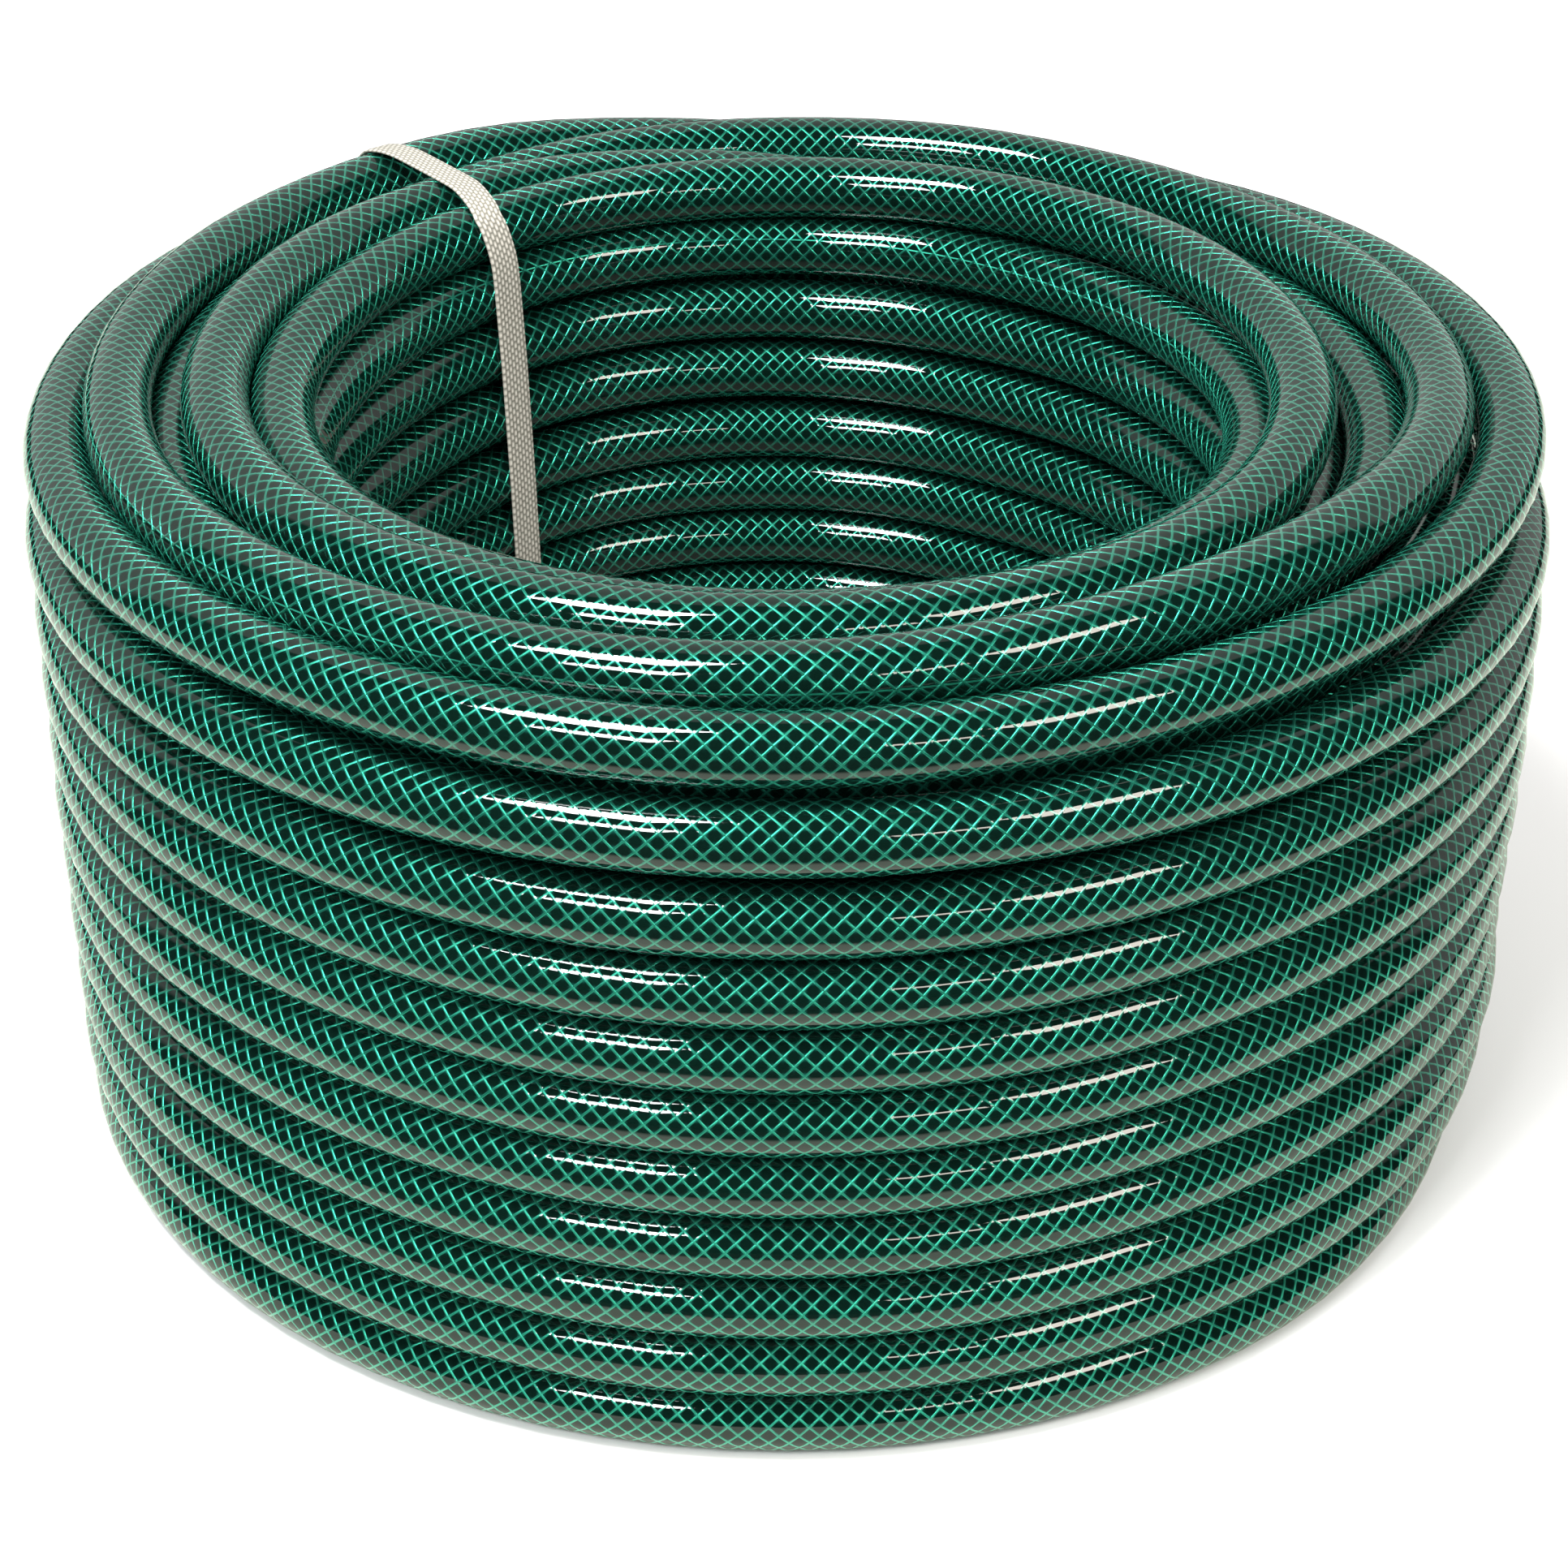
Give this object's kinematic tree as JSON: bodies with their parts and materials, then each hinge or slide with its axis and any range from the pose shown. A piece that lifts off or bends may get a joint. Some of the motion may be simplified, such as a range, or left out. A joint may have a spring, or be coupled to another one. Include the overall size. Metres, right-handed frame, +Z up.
{
  "type": "reinforced hose",
  "caption": "Coil of braid-reinforced garden hose, wound in layers round an open bore and tied with a woven strap.",
  "frame": {"origin": "on the floor, in the middle of the coil's bore", "axes": "+Z up along the coil's own axis; the strap crosses the wall at 131 degrees from +X"},
  "size_m": [0.378, 0.378, 0.2026],
  "materials": {
    "hose": "glossy flexible PVC, dark green with a turquoise yarn net under a clear skin",
    "strap": "flat woven webbing, off-white"
  },
  "bodies": {
    "root": {"hose_coil": "hose", "strap": "strap"}
  },
  "joints": []
}
